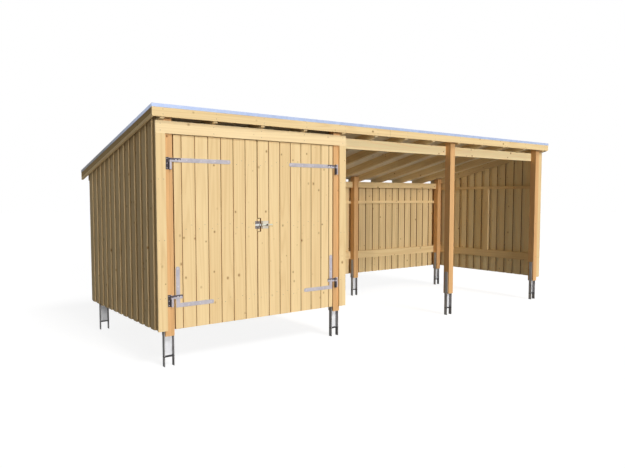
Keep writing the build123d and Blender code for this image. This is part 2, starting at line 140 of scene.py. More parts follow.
# ------------------------------------------------------------
# Timber. All wood is planed spruce or pine. The group draws the year rings as contour lines of a
# stretched noise, the fine fibre, a slow change of tone, and small round knots with their halo.
def linear(red, green, blue):
    """A colour as the eye reads it, 0 to 255, as the linear value that a shader takes."""
    parts = [c / 255 for c in (red, green, blue)]
    parts = [c / 12.92 if c <= 0.04045 else ((c + 0.055) / 1.055) ** 2.4 for c in parts]
    return (*parts, 1.0)


def shader_group(name, inputs, outputs):
    """An empty shader group with named sockets, and its input and output nodes."""
    group = bpy.data.node_groups.new(name, "ShaderNodeTree")
    for label, kind, value in inputs:
        socket = group.interface.new_socket(label, in_out="INPUT", socket_type=kind)
        if value is not None:
            socket.default_value = value
    for label, kind in outputs:
        group.interface.new_socket(label, in_out="OUTPUT", socket_type=kind)
    return group, group.nodes.new("NodeGroupInput"), group.nodes.new("NodeGroupOutput")


def vector_calc(tree, operation, *values):
    """One sum of a Vector Math node."""
    feeds = dict(enumerate(values))
    return node(tree, "ShaderNodeVectorMath", feeds, operation=operation).outputs[0]


FLOAT, COLOR, VECTOR = "NodeSocketFloat", "NodeSocketColor", "NodeSocketVector"
timber, wood_in, wood_out = shader_group(
    "timber",
    [
        ("Place", VECTOR, None),
        ("Board", FLOAT, 0.0),
        ("Pale", COLOR, (0.9, 0.7, 0.4, 1)),
        ("Deep", COLOR, (0.7, 0.5, 0.3, 1)),
        ("Knot", COLOR, (0.2, 0.1, 0.05, 1)),
        ("Rings", FLOAT, 10.0),
        ("Knot size", FLOAT, 0.010),
        ("Board change", FLOAT, 0.3),
    ],
    [("Color", COLOR), ("Roughness", FLOAT), ("Height", FLOAT)],
)
BOARD_SHIFT = (7.3, 3.1, 11.7)
sock = wood_in.outputs
feeds = {0: BOARD_SHIFT, "Scale": sock["Board"]}
shift = node(timber, "ShaderNodeVectorMath", feeds, operation="SCALE").outputs[0]
moved = vector_calc(timber, "ADD", sock["Place"], shift)


def stretched(along):
    """The place in the wood, with its Z scaled, which runs along the grain."""
    return vector_calc(timber, "MULTIPLY", moved, (1.0, 1.0, along))


def noise(tree, vector, scale, detail=2.0, rough=0.5):
    """The Fac of one noise."""
    feeds = {"Vector": vector, "Scale": scale, "Detail": detail, "Roughness": rough}
    return node(tree, "ShaderNodeTexNoise", feeds).outputs["Fac"]


def remap(tree, value, low, high, out_low=0.0, out_high=1.0, kind="SMOOTHSTEP"):
    """A value brought from one range to another, and held there."""
    feeds = {"Value": value, "From Min": low, "From Max": high}
    feeds.update({"To Min": out_low, "To Max": out_high})
    return node(tree, "ShaderNodeMapRange", feeds, interpolation_type=kind).outputs[0]


def blend(tree, factor, first, second, kind="MIX"):
    """Two colours mixed."""
    feeds = {0: factor, 6: first, 7: second}
    return node(tree, "ShaderNodeMix", feeds, data_type="RGBA", blend_type=kind).outputs[2]


RING_SHARE, STREAK_SHARE, FIBRE_SHARE, SLOW_SHARE = 0.42, 0.36, 0.22, 0.55
FULL_TURN, KNOT_CELLS = 6.283, 10.0
ring_field = noise(timber, stretched(0.055), 6.5, 1.5, 0.35)
turns = calc(timber, "MULTIPLY", ring_field, sock["Rings"])
ring_wave = calc(timber, "SINE", calc(timber, "MULTIPLY", turns, FULL_TURN))
rings = calc(timber, "POWER", remap(timber, ring_wave, -1.0, 1.0, kind="LINEAR"), 2.2)
fibre = noise(timber, stretched(0.018), 330.0, 2.0, 0.6)
streak = noise(timber, stretched(0.03), 38.0, 2.0, 0.55)
slow = noise(timber, stretched(0.35), 2.3, 1.0)
streaks = calc(timber, "MULTIPLY", remap(timber, streak, 0.3, 0.75), STREAK_SHARE)
grain = calc(timber, "MULTIPLY_ADD", rings, RING_SHARE, streaks)
grain = calc(timber, "MULTIPLY_ADD", remap(timber, fibre, 0.3, 0.8), FIBRE_SHARE, grain)
tone = calc(timber, "MULTIPLY_ADD", calc(timber, "SUBTRACT", slow, 0.5), SLOW_SHARE, grain)
off_average = calc(timber, "SUBTRACT", sock["Board"], 0.5)
board_tone = calc(timber, "MULTIPLY", off_average, sock["Board change"])
tone = calc(timber, "ADD", tone, board_tone, clamp=True)
wood = blend(timber, tone, sock["Pale"], sock["Deep"])
feeds = {"Vector": stretched(0.8), "Scale": KNOT_CELLS, "Randomness": 1.0}
cells = node(timber, "ShaderNodeTexVoronoi", feeds).outputs
away = calc(timber, "DIVIDE", cells["Distance"], KNOT_CELLS)
chance = node(timber, "ShaderNodeSeparateColor", {0: cells["Color"]}).outputs[0]
size = calc(timber, "MULTIPLY", sock["Knot size"], calc(timber, "MULTIPLY_ADD", chance, 0.9, 0.35))
relative = calc(timber, "DIVIDE", away, size)
core = remap(timber, relative, 0.55, 1.0, 1.0, 0.0)
halo = remap(timber, relative, 0.9, 2.3, 0.75, 0.0)
wood = blend(timber, halo, wood, blend(timber, 0.55, sock["Deep"], sock["Knot"]))
wood = blend(timber, core, wood, sock["Knot"])
timber.links.new(wood, wood_out.inputs["Color"])
roughness = remap(timber, fibre, 0.2, 0.8, 0.58, 0.72, "LINEAR")
timber.links.new(roughness, wood_out.inputs["Roughness"])
height = calc(timber, "MULTIPLY_ADD", fibre, 0.6, calc(timber, "MULTIPLY", rings, 0.35))
height = calc(timber, "SUBTRACT", height, calc(timber, "MULTIPLY", core, 0.5))
timber.links.new(height, wood_out.inputs["Height"])

ALONG_X = (0.0, math.radians(-90), 0.0)
ALONG_Y = (math.radians(90), 0.0, 0.0)
ALONG_Z = (0.0, 0.0, 0.0)
ROOF_SLOPE = math.radians(12.7)
DOWN_THE_ROOF = (math.radians(90) + ROOF_SLOPE, 0.0, 0.0)
SPRUCE_PALE, SPRUCE_DEEP, JOINT_SHADE = (245, 216, 162), (227, 193, 139), (146, 106, 62)


def material(name):
    """An empty material with its shader, and the shader's tree."""
    made = bpy.data.materials.new(name)
    made.use_nodes = True
    nodes = made.node_tree
    return made, nodes, nodes.nodes["Principled BSDF"]


def surface(nodes, shader, colour, group, relief, depth):
    """Join a colour, and a group's roughness and height, to the shader."""
    feeds = {"Height": group["Height"], "Strength": relief, "Distance": depth}
    bump = node(nodes, "ShaderNodeBump", feeds)
    nodes.links.new(colour, shader.inputs["Base Color"])
    nodes.links.new(group["Roughness"], shader.inputs["Roughness"])
    nodes.links.new(bump.outputs[0], shader.inputs["Normal"])


def timber_finish(
    name,
    grain_way,
    pale=SPRUCE_PALE,
    deep=SPRUCE_DEEP,
    knot=(150, 110, 66),
    rings=11.0,
    knot_size=0.0075,
    change=0.5,
    relief=0.35,
    cell=None,
    joint=JOINT_SHADE,
):
    """A wood material whose grain runs one way. Colours are as the eye reads them. cell tells
    apart the timbers of one node by their place, where no attribute does."""
    made, nodes, shader = material(name)
    place = node(nodes, "ShaderNodeTexCoord").outputs["Object"]
    turned = node(nodes, "ShaderNodeMapping", {"Vector": place, "Rotation": grain_way}).outputs[0]
    board = node(nodes, "ShaderNodeAttribute", attribute_name="board").outputs["Fac"]
    edge = node(nodes, "ShaderNodeAttribute", attribute_name="side").outputs["Fac"]
    if cell:
        number = vector_calc(nodes, "FLOOR", vector_calc(nodes, "MULTIPLY", place, cell))
        board = node(nodes, "ShaderNodeTexWhiteNoise", {"Vector": number}).outputs["Value"]
    feeds = {
        "Place": turned,
        "Board": board,
        "Pale": linear(*pale),
        "Deep": linear(*deep),
        "Knot": linear(*knot),
        "Rings": rings,
        "Knot size": knot_size,
        "Board change": change,
    }
    group = node(nodes, "ShaderNodeGroup", feeds, node_tree=timber).outputs
    # Painted shade: the joint colour multiplies in on the boards' sides and eased edges, where
    # side is 1.
    jointed = blend(nodes, edge, group["Color"], linear(*joint), "MULTIPLY")
    surface(nodes, shader, jointed, group, relief, 0.0012)
    shader.inputs["Specular IOR Level"].default_value = 0.12
    return made


def darker(made, mask_of, shade):
    """Multiply a finish's colour by a shade where the mask, worked out from the place, is 1."""
    nodes = made.node_tree
    shader = nodes.nodes["Principled BSDF"]
    colour = shader.inputs["Base Color"].links[0].from_socket
    place = node(nodes, "ShaderNodeTexCoord").outputs["Object"]
    xyz = node(nodes, "ShaderNodeSeparateXYZ", {0: place}).outputs
    toned = blend(nodes, mask_of(nodes, xyz), colour, linear(*shade), "MULTIPLY")
    nodes.links.new(toned, shader.inputs["Base Color"])
    return made


def dress(names, finish, ease=0.0):
    """Give CAD nodes their material, and ease their sharp edges."""
    for name in names:
        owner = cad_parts[name]
        owner.data.materials.clear()
        owner.data.materials.append(finish)
        if ease:
            edge = owner.modifiers.new("eased_edges", "BEVEL")
            edge.width = ease
            edge.segments = 2
            edge.limit_method = "ANGLE"
            edge.angle_limit = math.radians(40)


ARRIS = 0.0015

# ------------------------------------------------------------
# Ground anchors. Two hot-dip galvanised straps grip each post, with a thin web and a crossbar
# between them, and coach screws hold them. The zinc is matt, with a faint crystal pattern. A mask
# makes the crossbar darker than the web, and painted shade darkens the straps, most on their faces
# towards each other.
zinc, zinc_in, zinc_out = shader_group(
    "zinc_coat",
    [
        ("Place", VECTOR, None),
        ("Bright", COLOR, (0.7, 0.7, 0.7, 1)),
        ("Dull", COLOR, (0.4, 0.4, 0.4, 1)),
        ("Crystal", FLOAT, 90.0),
        ("Roughness", FLOAT, 0.4),
    ],
    [("Color", COLOR), ("Roughness", FLOAT), ("Height", FLOAT)],
)
sock = zinc_in.outputs
crystals = node(zinc, "ShaderNodeTexVoronoi", {"Vector": sock["Place"], "Scale": sock["Crystal"]})
facet = node(zinc, "ShaderNodeSeparateColor", {0: crystals.outputs["Color"]}).outputs[0]
cloud = noise(zinc, sock["Place"], 14.0, 3.0, 0.6)
speck = noise(zinc, sock["Place"], 420.0, 2.0, 0.6)
clouds = calc(zinc, "MULTIPLY", remap(zinc, cloud, 0.35, 0.7), 0.6)
mottle = calc(zinc, "MULTIPLY_ADD", facet, 0.25, clouds)
mottle = calc(zinc, "MULTIPLY_ADD", speck, 0.2, mottle, clamp=True)
zinc.links.new(blend(zinc, mottle, sock["Bright"], sock["Dull"]), zinc_out.inputs["Color"])
change = calc(zinc, "MULTIPLY", calc(zinc, "SUBTRACT", cloud, 0.5), 0.25)
roughness = calc(zinc, "ADD", sock["Roughness"], change, clamp=True)
zinc.links.new(roughness, zinc_out.inputs["Roughness"])
height = calc(zinc, "MULTIPLY_ADD", speck, 0.5, calc(zinc, "MULTIPLY", facet, 0.3))
zinc.links.new(height, zinc_out.inputs["Height"])


def zinc_finish(
    name, bright, dull, metallic=0.1, roughness=0.5, gloss=0.25, crystal=140.0, relief=0.1
):
    """A zinc-coated steel material."""
    made, nodes, shader = material(name)
    feeds = {
        "Place": node(nodes, "ShaderNodeTexCoord").outputs["Object"],
        "Bright": linear(*bright),
        "Dull": linear(*dull),
        "Crystal": crystal,
        "Roughness": roughness,
    }
    group = node(nodes, "ShaderNodeGroup", feeds, node_tree=zinc).outputs
    surface(nodes, shader, group["Color"], group, relief, 0.0004)
    shader.inputs["Metallic"].default_value = metallic
    shader.inputs["Specular IOR Level"].default_value = gloss
    return made


def distance_from(nodes, value, middle):
    """How far a value is from a middle, to either side."""
    return calc(nodes, "ABSOLUTE", calc(nodes, "SUBTRACT", value, middle))


def between(nodes, value, low, high):
    """1 where a value lies between two others."""
    above = calc(nodes, "GREATER_THAN", value, low)
    return calc(nodes, "MULTIPLY", above, calc(nodes, "LESS_THAN", value, high))


POST_PITCH, HALF_POST = 2.05, 0.045
CROSSBAR_LOW, CROSSBAR_TOP = 0.0935, 0.1005
STRAP_FROM, FACE_SKIN = HALF_POST - 0.0006, 0.0005


def off_post_middle(nodes, xyz):
    """How far to the side of its post's middle a place lies."""
    from_left = calc(nodes, "ADD", xyz[0], 2 * POST_PITCH)
    into_bay = calc(nodes, "FLOORED_MODULO", from_left, POST_PITCH)
    return distance_from(nodes, into_bay, POST_PITCH / 2)


def on_crossbar(nodes, xyz):
    """1 on the anchor's crossbar."""
    return between(nodes, xyz[2], CROSSBAR_LOW, CROSSBAR_TOP)


def on_strap_shade(nodes, xyz):
    """1 on the anchor's two straps, where shade is painted."""
    return calc(nodes, "GREATER_THAN", off_post_middle(nodes, xyz), STRAP_FROM)


def on_inner_face_shade(nodes, xyz):
    """1 on the straps' faces towards each other, where more shade is painted."""
    off_face = distance_from(nodes, off_post_middle(nodes, xyz), HALF_POST)
    return calc(nodes, "LESS_THAN", off_face, FACE_SKIN)


anchor_coat = {"metallic": 0.0, "roughness": 0.6, "gloss": 0.08, "crystal": 60.0, "relief": 0.15}
anchor_zinc = zinc_finish("anchor_zinc", (246, 246, 247), (226, 226, 228), **anchor_coat)
darker(anchor_zinc, on_crossbar, (74, 72, 72))
# Painted shade: the straps darker than the web, and their inner faces darker still.
darker(anchor_zinc, on_strap_shade, (198, 196, 194))
darker(anchor_zinc, on_inner_face_shade, (214, 212, 212))
anchors = [f"{row}_anchor_{n}" for row in ("front", "rear") for n in range(1, 5)]
dress(anchors, anchor_zinc, ease=0.0008)


def geometry_tree(name, inputs):
    """An empty geometry tree with named inputs."""
    tree = bpy.data.node_groups.new(name, "GeometryNodeTree")
    tree.interface.new_socket("Geometry", in_out="INPUT", socket_type="NodeSocketGeometry")
    for label, kind, value in inputs:
        socket = tree.interface.new_socket(label, in_out="INPUT", socket_type=kind)
        if value is not None:
            socket.default_value = value
    tree.interface.new_socket("Geometry", in_out="OUTPUT", socket_type="NodeSocketGeometry")
    return tree, tree.nodes.new("NodeGroupInput"), tree.nodes.new("NodeGroupOutput")


def give_out(tree, geometry, paint, group_out):
    """End a geometry tree with its shape in its material."""
    feeds = {"Geometry": geometry, "Material": paint}
    painted = node(tree, "GeometryNodeSetMaterial", feeds).outputs[0]
    tree.links.new(painted, group_out.inputs[0])


def grown(tree, values, base=None):
    """The plain mesh that a geometry tree makes with these values, on a base mesh or on none."""
    start = base or bpy.data.meshes.new("start")
    holder = bpy.data.objects.new("holder", start)
    scene.collection.objects.link(holder)
    modifier = holder.modifiers.new("grow", "NODES")
    modifier.node_group = tree
    for item in tree.interface.items_tree:
        if item.in_out == "INPUT" and item.name in values:
            modifier[item.identifier] = values[item.name]
    view = bpy.context.evaluated_depsgraph_get()
    made = holder.evaluated_get(view)
    mesh = bpy.data.meshes.new_from_object(made, preserve_all_data_layers=True, depsgraph=view)
    bpy.data.objects.remove(holder)
    return mesh


def piece(name, mesh, body, finish=None, stands_for=()):
    """A finished piece of the shed."""
    mesh.name = name
    if finish:
        mesh.materials.clear()
        mesh.materials.append(finish)
    made = bpy.data.objects.new(name, mesh)
    scene.collection.objects.link(made)
    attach(made, body)
    if stands_for:
        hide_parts(*stands_for)
    return made


INTEGER, PAINT = "NodeSocketInt", "NodeSocketMaterial"
heads, heads_in, heads_out = geometry_tree(
    "heads",
    [
        ("Radius", FLOAT, 0.004),
        ("Height", FLOAT, 0.001),
        ("Sides", INTEGER, 8),
        ("Outward", VECTOR, (0, -1, 0)),
        ("Material", PAINT, None),
    ],
)
sock = heads_in.outputs
feeds = {"Segments": sock["Sides"], "Rings": 4, "Radius": 1.0}
head = node(heads, "GeometryNodeMeshUVSphere", feeds).outputs["Mesh"]
feeds = {0: sock["Radius"], 1: sock["Radius"], 2: sock["Height"]}
shape = node(heads, "ShaderNodeCombineXYZ", feeds).outputs[0]
feeds = {"Vector": sock["Outward"]}
turn = node(heads, "FunctionNodeAlignRotationToVector", feeds, axis="Z").outputs[0]
feeds = {"Points": sock["Geometry"], "Instance": head, "Rotation": turn, "Scale": shape}
driven = node(heads, "GeometryNodeInstanceOnPoints", feeds).outputs[0]
real = node(heads, "GeometryNodeRealizeInstances", {"Geometry": driven}).outputs[0]
give_out(heads, real, sock["Material"], heads_out)
nail_coat = {"metallic": 0.3, "gloss": 0.3, "crystal": 300.0, "relief": 0.15}
nail_zinc = zinc_finish("nail_zinc", (196, 180, 150), (150, 134, 106), **nail_coat)


def fasteners(name, spots, outward, size, body="root", finish=nail_zinc):
    """Round heads on the points given, all facing outward. size is (radius, height, sides)."""
    points = bpy.data.meshes.new("points")
    points.from_pydata([tuple(spot) for spot in spots], [], [])
    values = dict(zip(("Radius", "Height", "Sides"), size), Outward=outward, Material=finish)
    return piece(name, grown(heads, values, points), body, finish)


# Straps that get coach screws, as (post, the way the strap faces).
SCREWED = {
    "front": ((3, 1), (3, -1), (4, -1)),
    "rear": ((1, 1), (2, -1), (2, 1), (3, -1), (3, 1), (4, -1)),
}
COACH_SCREW, STRAP_SCREWS = (0.0065, 0.0035, 8), (0.36, 0.46, 0.56)
anchor_low, anchor_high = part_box("front_anchor_3")
OUTER_FACE = (anchor_high.x - anchor_low.x) / 2
for row, straps in SCREWED.items():
    low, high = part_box(row + "_anchor_3")
    middle = (low.y + high.y) / 2
    for way in (-1, 1):
        faces = [POST_PITCH * (n - 2.5) + way * OUTER_FACE for n, faced in straps if faced == way]
        spots = [(x, middle, z) for x in faces for z in STRAP_SCREWS]
        name = f"{row}_anchor_screws_{'left' if way < 0 else 'right'}"
        fasteners(name, spots, (way, 0, 0), COACH_SCREW, finish=anchor_zinc)

# ------------------------------------------------------------
# Posts. Each is glued up from three boards of pressure-treated pine, so it is warmer and browner
# than the rest, with two fine glue lines on its front and back and small dark knots.
LAMELLA, GLUE_LINE = 0.03, 0.0009
post_pine = timber_finish(
    "post_pine",
    ALONG_Z,
    (233, 184, 127),
    (215, 166, 112),
    knot=(124, 78, 42),
    rings=13.0,
    knot_size=0.006,
    cell=(1 / LAMELLA, 0.0, 0.0),
)


def on_glue_line(nodes, xyz):
    """1 along the two glue lines of each post."""
    off_line = distance_from(nodes, off_post_middle(nodes, xyz), LAMELLA / 2)
    return remap(nodes, off_line, 0.0, GLUE_LINE, 1.0, 0.0)


darker(post_pine, on_glue_line, (196, 176, 160))
posts = [f"{row}_post_{n}" for row in ("front", "rear") for n in range(1, 5)]
dress(posts, post_pine, ease=0.0025)

# ------------------------------------------------------------
# Beams, rafters, rails and studs. Planed spruce in standard sections. The two beams and the rails
# run level, the rafters slope down to the back and the studs stand between two rails.
spruce_level = timber_finish("spruce_level", ALONG_X)
spruce_slope = timber_finish(
    "spruce_slope",
    DOWN_THE_ROOF,
    (242, 220, 176),
    (224, 196, 148),
    change=0.6,
    cell=(2.0, 0.0, 0.0),
)
spruce_deep = timber_finish("spruce_deep", ALONG_Y)
spruce_upright = timber_finish("spruce_upright", ALONG_Z)
# The front beam's finish is a lighter copy, painted light against the fascia's shadow on it.
beam_spruce = timber_finish("beam_spruce", ALONG_X, (255, 233, 182), (255, 210, 152))
dress(["front_beam"], beam_spruce, ARRIS)
dress(["rear_beam", "rear_wall_rails"], spruce_level, ARRIS)
dress(["rafters"], spruce_slope, ARRIS)
dress(["side_wall_rails"], spruce_deep, ARRIS)
dress(["wall_studs"], spruce_upright, ARRIS)

# ------------------------------------------------------------
# Wall cladding. Boards are nailed upright in two layers, an inner layer with gaps and an outer
# layer over the gaps. Side walls are cut to the roof's slope. The walls' tones differ: the left
# wall and partition are darker, as painted shade, the rear wall a little darker, as painted shade
# inside the store, and the right wall paler, as painted light against its shade.
boards, row_in, row_out = geometry_tree(
    "board_row",
    [
        ("Count", INTEGER, 10),
        ("First", FLOAT, 0.0),
        ("Pitch", FLOAT, 0.157),
        ("Width", FLOAT, 0.098),
        ("Thickness", FLOAT, 0.016),
        ("Edge radius", FLOAT, 0.0015),
        ("Bottom", FLOAT, 0.0),
        ("Top", FLOAT, 1.0),
        ("Fall", FLOAT, 0.0),
        ("Side tone", FLOAT, 0.0),
        ("Seed", INTEGER, 0),
        ("Material", PAINT, None),
    ],
)
sock = row_in.outputs


def position():
    """The x, y and z of each point of the boards."""
    place = node(boards, "GeometryNodeInputPosition").outputs[0]
    return node(boards, "ShaderNodeSeparateXYZ", {0: place}).outputs


def stored(geometry, label, value, domain):
    """The boards with a number stored on them by name."""
    feeds = {"Geometry": geometry, "Name": label, "Value": value}
    kinds = {"domain": domain, "data_type": "FLOAT"}
    return node(boards, "GeometryNodeStoreNamedAttribute", feeds, **kinds).outputs[0]


first_middle = calc(boards, "MULTIPLY_ADD", sock["Width"], 0.5, sock["First"])
start = node(boards, "ShaderNodeCombineXYZ", {0: first_middle}).outputs[0]
step = node(boards, "ShaderNodeCombineXYZ", {0: sock["Pitch"]}).outputs[0]
feeds = {"Count": sock["Count"], "Start Location": start, "Offset": step}
line = node(boards, "GeometryNodeMeshLine", feeds, mode="OFFSET").outputs[0]
feeds = {"Width": sock["Width"], "Height": sock["Thickness"]}
section = node(boards, "GeometryNodeCurvePrimitiveQuadrilateral", feeds).outputs[0]
feeds = {"Curve": section, "Radius": sock["Edge radius"], "Count": 2}
eased = node(boards, "GeometryNodeFilletCurve", feeds, mode="POLY").outputs[0]
face = node(boards, "GeometryNodeFillCurve", {"Curve": eased}, mode="NGONS").outputs[0]
feeds = {"Mesh": face, "Offset": (0, 0, 1), "Offset Scale": 1.0}
body = node(boards, "GeometryNodeExtrudeMesh", feeds, mode="FACES").outputs[0]
foot = node(boards, "GeometryNodeFlipFaces", {"Mesh": face}).outputs[0]
whole = node(boards, "GeometryNodeJoinGeometry")
boards.links.new(body, whole.inputs[0])
boards.links.new(foot, whole.inputs[0])
feeds = {"Geometry": whole.outputs[0], "Distance": 0.00005}
closed = node(boards, "GeometryNodeMergeByDistance", feeds).outputs[0]
# side is 1 on each board's eased edges and sides, times Side tone; the finishes paint shade there.
off_middle = calc(boards, "ABSOLUTE", position()[0])
face_end = calc(boards, "SUBTRACT", sock["Width"], sock["Edge radius"])
twice = calc(boards, "MULTIPLY", off_middle, 2.0)
past_face = calc(boards, "GREATER_THAN", twice, face_end)
side = calc(boards, "MULTIPLY", past_face, sock["Side tone"])
feeds = {"Points": line, "Instance": stored(closed, "side", side, "POINT")}
laid = node(boards, "GeometryNodeInstanceOnPoints", feeds).outputs[0]
feeds = {"Seed": sock["Seed"]}
chance = node(boards, "FunctionNodeRandomValue", feeds, data_type="FLOAT").outputs[1]
feeds = {"Geometry": stored(laid, "board", chance, "INSTANCE")}
real = node(boards, "GeometryNodeRealizeInstances", feeds).outputs[0]
spot = position()
fallen = calc(boards, "MULTIPLY", sock["Fall"], spot[0])
cut = calc(boards, "SUBTRACT", sock["Top"], fallen)
tall = calc(boards, "SUBTRACT", cut, sock["Bottom"])
level = calc(boards, "MULTIPLY_ADD", spot[2], tall, sock["Bottom"])
place = node(boards, "ShaderNodeCombineXYZ", {0: spot[0], 1: spot[1], 2: level}).outputs[0]
feeds = {"Geometry": real, "Position": place}
cut_off = node(boards, "GeometryNodeSetPosition", feeds).outputs[0]
give_out(boards, cut_off, sock["Material"], row_out)


def board_mesh(**values):
    """A row of boards. The names are those of the tree's inputs, such as edge_radius."""
    inputs = {name.replace("_", " ").capitalize(): value for name, value in values.items()}
    return grown(boards, inputs)


def joined(meshes, places):
    """Several meshes as one, each at its own place, with closed faces that point outwards."""
    whole = bmesh.new()
    kept = [whole.verts.layers.float.new(label) for label in ("board", "side")]
    for mesh, place in zip(meshes, places):
        part = bmesh.new()
        part.from_mesh(mesh)
        part.transform(place)
        own = [part.verts.layers.float.get(label) for label in ("board", "side")]
        made = [whole.verts.new(v.co) for v in part.verts]
        for new, old in zip(made, part.verts):
            for layer, source in zip(kept, own):
                new[layer] = old[source] if source else 0.0
        for old in part.faces:
            whole.faces.new([made[v.index] for v in old.verts]).material_index = 0
        part.free()
    bmesh.ops.recalc_face_normals(whole, faces=whole.faces)
    mesh = bpy.data.meshes.new("joined")
    whole.to_mesh(mesh)
    whole.free()
    return mesh


def axes(x_axis, y_axis, z_axis, origin):
    """The matrix that puts a piece's own axes along these directions from origin."""
    made = Matrix.Identity(4)
    for column, axis in enumerate((x_axis, y_axis, z_axis)):
        for row in range(3):
            made[row][column] = axis[row]
    made.translation = Vector(origin)
    return made


BOARD, GAP, BOARD_THICK, EASE = 0.098, 0.0595, 0.016, 0.0015
PITCH = BOARD + GAP
LAP = (BOARD - GAP) / 2
NAIL, NAIL_FROM_EDGE, NAIL_FROM_TOP = (0.0034, 0.0008, 8), 0.022, 0.055
SHADED_SIDE = (165, 168, 166)
# Copies of one spruce: darker for the left wall and partition as painted shade, a little darker
# for the rear wall as painted shade, and paler for the right wall as painted light.
cladding_spruce = timber_finish(
    "cladding_spruce", ALONG_Z, (220, 193, 145), (196, 167, 120), joint=SHADED_SIDE
)
rear_cladding = timber_finish("rear_cladding", ALONG_Z, (238, 210, 158), (218, 188, 136))
pale_cladding = timber_finish("pale_cladding", ALONG_Z, (255, 238, 194), (250, 224, 174))


def cladding(node_name, length, starts, along, outward, origin, heights, fall, seed, finish):
    """One wall of boards. starts are the outer boards' near edges, measured along the wall, and
    heights its bottom and top."""
    far_end = starts[-1] + BOARD - LAP
    # The inner layer's sides get painted shade with side tone 1, the outer layer's none.
    rows = (
        (len(starts), starts[0], BOARD, seed, 0.0),
        (len(starts) - 1, starts[0] + BOARD - LAP, BOARD, seed + 1, 1.0),
        (1, 0.0, starts[0] + LAP, seed + 2, 1.0),
        (1, far_end, length - far_end, seed + 2 + int(far_end * 7), 1.0),
    )
    common = {"pitch": PITCH, "thickness": BOARD_THICK, "edge_radius": EASE, "material": finish}
    common.update(bottom=heights[0], top=heights[1], fall=fall)
    meshes = [
        board_mesh(count=count, first=first, width=width, seed=chance, side_tone=side, **common)
        for count, first, width, chance, side in rows
    ]
    depths = [1.5 * BOARD_THICK] + [0.5 * BOARD_THICK] * 3
    faces = [Vector(origin) + Vector(outward) * depth for depth in depths]
    mesh = joined(meshes, [axes(along, outward, (0, 0, 1), place) for place in faces])
    return piece(node_name + "_boards", mesh, "root", finish, (node_name,))


def nail_rows(starts, heights):
    """Two nails across each outer board at every height, as (along the wall, height)."""
    across = [s + inset for s in starts for inset in (NAIL_FROM_EDGE, BOARD - NAIL_FROM_EDGE)]
    return [(u, z(u) if callable(z) else z) for u in across for z in heights]


def centred_starts(length):
    """The outer boards' places on a wall where they are centred."""
    count = int((length - BOARD - 2 * GAP) // PITCH) + 1
    margin = (length - BOARD - (count - 1) * PITCH) / 2
    return [margin + i * PITCH for i in range(count)]


DROP = math.tan(ROOF_SLOPE)
BOTTOM_RAIL_MIDDLE, MID_RAIL_HALF = 0.06, 0.0225
rail_low, rail_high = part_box("side_wall_rails")
for name, outward, seed, finish in (
    ("left_wall_cladding", -1, 11, cladding_spruce),
    ("right_wall_cladding", 1, 31, pale_cladding),
    ("partition_cladding", 1, 51, None),
):
    low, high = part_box(name)
    length = high.y - low.y
    starts = centred_starts(length)
    inner, outer = (low.x, high.x) if outward > 0 else (high.x, low.x)
    way, corner = (outward, 0, 0), (inner, low.y, 0)
    ends = (low.z, high.z)
    if finish:
        cladding(name, length, starts, (0, 1, 0), way, corner, ends, DROP, seed, finish)
    heights = [rail_low.z + BOTTOM_RAIL_MIDDLE, rail_high.z - MID_RAIL_HALF]
    heights.append(lambda u, top=high.z: top - DROP * u - NAIL_FROM_TOP)
    spots = [(outer, low.y + u, z) for u, z in nail_rows(starts, heights)]
    fasteners(name + "_nails", spots, way, NAIL)
dress(["partition_cladding"], cladding_spruce, ARRIS)

REAR_MARGIN, REAR_SEED = 0.052, 71
rear_low, rear_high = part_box("rear_wall_rails")
low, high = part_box("rear_wall_cladding")
length = high.x - low.x
count = int((length - BOARD - REAR_MARGIN) // PITCH) + 1
first = length - REAR_MARGIN - BOARD - (count - 1) * PITCH
starts = [first + i * PITCH for i in range(count)]
name, corner, heights = "rear_wall_cladding", (low.x, low.y, 0), (low.z, high.z)
way, seed = (0, 1, 0), REAR_SEED
cladding(name, length, starts, (1, 0, 0), way, corner, heights, 0.0, seed, rear_cladding)
heights = [rear_low.z + BOTTOM_RAIL_MIDDLE, rear_high.z - MID_RAIL_HALF]
spots = [(low.x + u, high.y, z) for u, z in nail_rows(starts, heights)]
fasteners(name + "_nails", spots, way, NAIL)

# ------------------------------------------------------------
# Roof. A boarded deck lies on the rafters, mineral felt on the deck, a fascia and two barge boards
# round the edges, and a folded metal capping over the front and side edges. Painted shade makes
# the barge boards darker above their lower edge and the capping's side legs darker towards the
# rear.
DECK_BOARDS, DECK_THICK, DECK_JOINT = 19, 0.02, 0.0004
low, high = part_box("roof_deck")
down = Vector((0, math.cos(ROOF_SLOPE), -math.sin(ROOF_SLOPE)))
up_from_roof = Vector((0, math.sin(ROOF_SLOPE), math.cos(ROOF_SLOPE)))
slope_length = (high.y - low.y - DECK_THICK * math.sin(ROOF_SLOPE)) / math.cos(ROOF_SLOPE)
deck_pitch = slope_length / DECK_BOARDS
# The deck's finish is a paler copy, painted light on the ceiling's shade.
deck_spruce = timber_finish("deck_spruce", ALONG_X, (255, 246, 220), (252, 232, 196))
deck = board_mesh(
    count=DECK_BOARDS,
    first=DECK_JOINT / 2,
    pitch=deck_pitch,
    width=deck_pitch - DECK_JOINT,
    thickness=DECK_THICK,
    edge_radius=0.001,
    bottom=low.x,
    top=high.x,
    seed=91,
    material=deck_spruce,
)
deck_front = Vector((0, low.y, high.z - DECK_THICK / math.cos(ROOF_SLOPE)))
deck_place = axes(down, up_from_roof, (1, 0, 0), deck_front + up_from_roof * DECK_THICK / 2)
deck = joined([deck], [deck_place])
piece("roof_deck_boards", deck, "root", deck_spruce, ("roof_deck",))

FASCIA_BUTT, BUTT_HALF = -0.24, 0.0012


def on_butt(nodes, xyz):
    """1 where the two lengths of the front fascia meet."""
    off_butt = distance_from(nodes, xyz[0], FASCIA_BUTT)
    return calc(nodes, "LESS_THAN", off_butt, BUTT_HALF)


